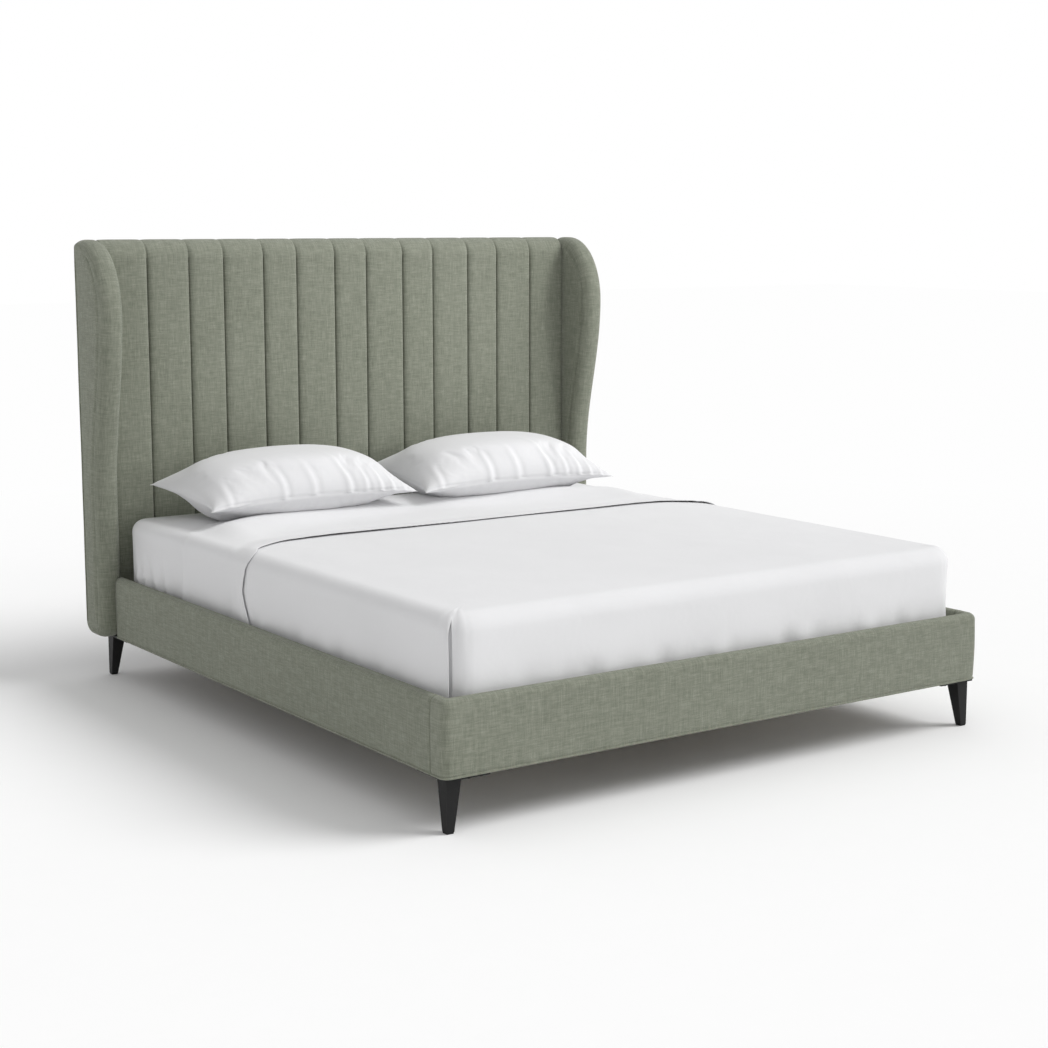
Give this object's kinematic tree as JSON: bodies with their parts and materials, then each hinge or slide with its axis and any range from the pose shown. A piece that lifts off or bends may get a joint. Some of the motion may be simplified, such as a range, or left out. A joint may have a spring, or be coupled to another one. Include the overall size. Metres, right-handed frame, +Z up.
{
  "type": "upholstered bed",
  "caption": "Double bed with a tall channelled wing headboard, padded rails on short tapered legs, a slatted base, a mattress, sheets, a quilted cover and pillows.",
  "frame": {"origin": "on the floor, midway across the bed and midway between the face of the foot rail and the back of the headboard", "axes": "+Z up, +Y towards the headboard, +X to the right of someone who stands at the foot and looks at the headboard"},
  "size_m": [2, 2.155, 1.45],
  "materials": {
    "upholstery": "sage green linen weave, matt",
    "plywood": "bare birch plywood",
    "softwood": "bare sanded softwood",
    "dark_cloth": "thin woven cloth",
    "black_metal": "satin powder coat",
    "black_plastic": "moulded, matt",
    "steel": "zinc plated",
    "mattress_ticking": "knitted ticking",
    "sheeting": "fine white cotton",
    "quilting": "fine white cotton over wadding",
    "filling": "fibre filling in a plain cover"
  },
  "bodies": {
    "bed_frame": {"headboard_board": "plywood", "headboard_battens": "softwood", "headboard_cover": "upholstery", "headboard_back_cloth": "dark_cloth", "wing_core_left": "plywood", "wing_core_right": "plywood", "wing_cover_left": "upholstery", "wing_cover_right": "upholstery", "wing_screws": "steel", "side_rail_left": "softwood", "side_rail_right": "softwood", "side_rail_cover_left": "upholstery", "side_rail_cover_right": "upholstery", "foot_rail": "softwood", "foot_rail_cover": "upholstery", "corner_block_left": "softwood", "corner_block_right": "softwood", "corner_screws": "steel", "headboard_bracket_left": "steel", "headboard_bracket_right": "steel", "bracket_bolts": "steel", "slat_ledge_left": "softwood", "slat_ledge_right": "softwood", "ledge_screws": "steel", "centre_beam": "softwood", "beam_hanger_front": "steel", "beam_hanger_rear": "steel", "hanger_screws": "steel", "slats_left": "plywood", "slats_right": "plywood", "slat_tapes_left": "dark_cloth", "slat_tapes_right": "dark_cloth", "leg_front_left": "black_metal", "leg_front_right": "black_metal", "leg_rear_left": "black_metal", "leg_rear_right": "black_metal", "leg_plate_front_left": "black_metal", "leg_plate_front_right": "black_metal", "leg_plate_rear_left": "black_metal", "leg_plate_rear_right": "black_metal", "leg_glides": "black_plastic", "leg_screws": "black_metal", "centre_leg_front": "black_metal", "centre_leg_rear": "black_metal", "centre_leg_plug_front": "steel", "centre_leg_plug_rear": "steel"},
    "mattress": {"mattress": "mattress_ticking", "fitted_sheet": "sheeting", "flat_sheet": "sheeting", "bed_cover": "quilting"},
    "pillow_left": {"pillow_case_left": "sheeting", "pillow_filling_left": "filling"},
    "pillow_right": {"pillow_case_right": "sheeting", "pillow_filling_right": "filling"},
    "centre_foot_front": {"centre_foot_front": "black_plastic"},
    "centre_foot_rear": {"centre_foot_rear": "black_plastic"}
  },
  "joints": [
    {"name": "mattress_lift", "type": "slide", "parent": "bed_frame", "child": "mattress", "axis": [0, 0, 1], "range_m": [0, 0.3]},
    {"name": "pillow_left_lift", "type": "slide", "parent": "mattress", "child": "pillow_left", "axis": [0, 0, 1], "range_m": [0, 0.25]},
    {"name": "pillow_right_lift", "type": "slide", "parent": "mattress", "child": "pillow_right", "axis": [0, 0, 1], "range_m": [0, 0.25]},
    {"name": "centre_foot_front_screw", "type": "slide", "parent": "bed_frame", "child": "centre_foot_front", "axis": [0, 0, 1], "range_m": [0, 0.01]},
    {"name": "centre_foot_rear_screw", "type": "slide", "parent": "bed_frame", "child": "centre_foot_rear", "axis": [0, 0, 1], "range_m": [0, 0.01]}
  ]
}
